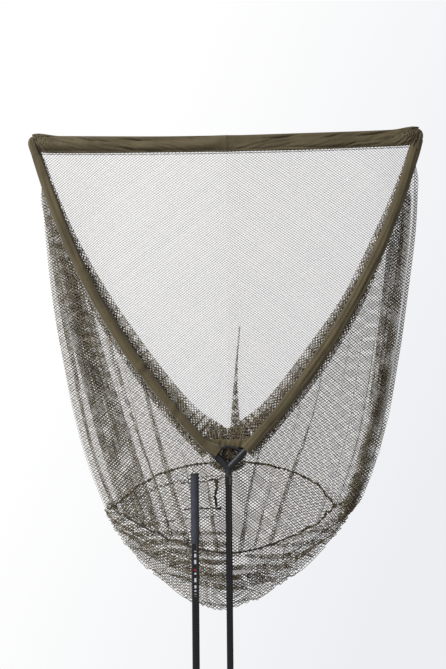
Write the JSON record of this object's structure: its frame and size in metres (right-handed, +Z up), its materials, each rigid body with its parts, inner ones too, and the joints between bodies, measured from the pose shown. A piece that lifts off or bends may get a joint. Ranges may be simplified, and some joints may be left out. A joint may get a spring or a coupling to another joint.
{
  "type": "landing net",
  "caption": "Landing net with a triangular bowed frame in fabric sleeves, a deep diamond-mesh bag, a Y-shaped arm block and a two-section pole with a foam grip.",
  "frame": {"origin": "centre of the lower end of the upper handle section's joint spigot", "axes": "+Z up along the handle to the mouth, +X to the right across the mouth, +Y back towards the bag; -Y faces out of the mouth"},
  "size_m": [1.1072, 0.1392, 1.8716],
  "materials": {
    "carbon_tube": "satin lacquer over dark composite",
    "spigot_composite": "ground matt composite",
    "trim_metal": "dark anodised",
    "collar_plastic": "glossy black",
    "insert_brass": "machined",
    "block_plastic": "moulded, satin",
    "stud_steel": "threaded",
    "cord_braid": "braided cord",
    "olive_fabric": "woven, dull olive",
    "netting": "knotless knitted netting, olive brown",
    "seam_tape": "dark brown woven tape",
    "arm_glass": "solid glass fibre",
    "label_gloss": null,
    "grip_foam": "closed-cell foam, matt",
    "cap_rubber": "moulded rubber"
  },
  "bodies": {
    "handle": {"handle_tube": "carbon_tube", "joint_spigot": "spigot_composite", "joint_ring": "trim_metal", "top_collar": "collar_plastic", "thread_insert": "insert_brass"},
    "head": {"spreader_block": "block_plastic", "block_stud": "stud_steel", "tip_cord": "cord_braid", "cord_sleeve": "olive_fabric", "rear_mesh": "netting", "left_side_mesh": "netting", "right_side_mesh": "netting", "base_mesh": "netting", "base_seam": "seam_tape", "left_base_loop": "seam_tape", "right_base_loop": "seam_tape", "net_strap": "seam_tape"},
    "left_arm": {"left_arm_rod": "arm_glass", "left_arm_ferrule": "block_plastic", "left_tip_cap": "block_plastic", "left_arm_sleeve": "olive_fabric", "left_corner_pocket": "olive_fabric"},
    "right_arm": {"right_arm_rod": "arm_glass", "right_arm_ferrule": "block_plastic", "right_tip_cap": "block_plastic", "right_arm_sleeve": "olive_fabric", "right_corner_pocket": "olive_fabric"},
    "butt_section": {"butt_tube": "carbon_tube", "socket_liner": "spigot_composite", "butt_ring": "trim_metal", "label_band": "label_gloss", "foam_grip": "grip_foam", "butt_cap": "cap_rubber"}
  },
  "joints": [
    {"name": "head_unscrew", "type": "hinge", "parent": "handle", "child": "head", "pos_m": [0, 0, 0.92], "axis": [0, 0, 1], "continuous": true},
    {"name": "left_arm_pull", "type": "slide", "parent": "head", "child": "left_arm", "axis": [-0.6947, 0, 0.7193], "range_m": [0, 0.05]},
    {"name": "right_arm_pull", "type": "slide", "parent": "head", "child": "right_arm", "axis": [0.6947, 0, 0.7193], "range_m": [0, 0.05]},
    {"name": "butt_lift", "type": "slide", "parent": "head", "child": "butt_section", "axis": [0, 0, 1], "range_m": [0, 0.3]}
  ]
}
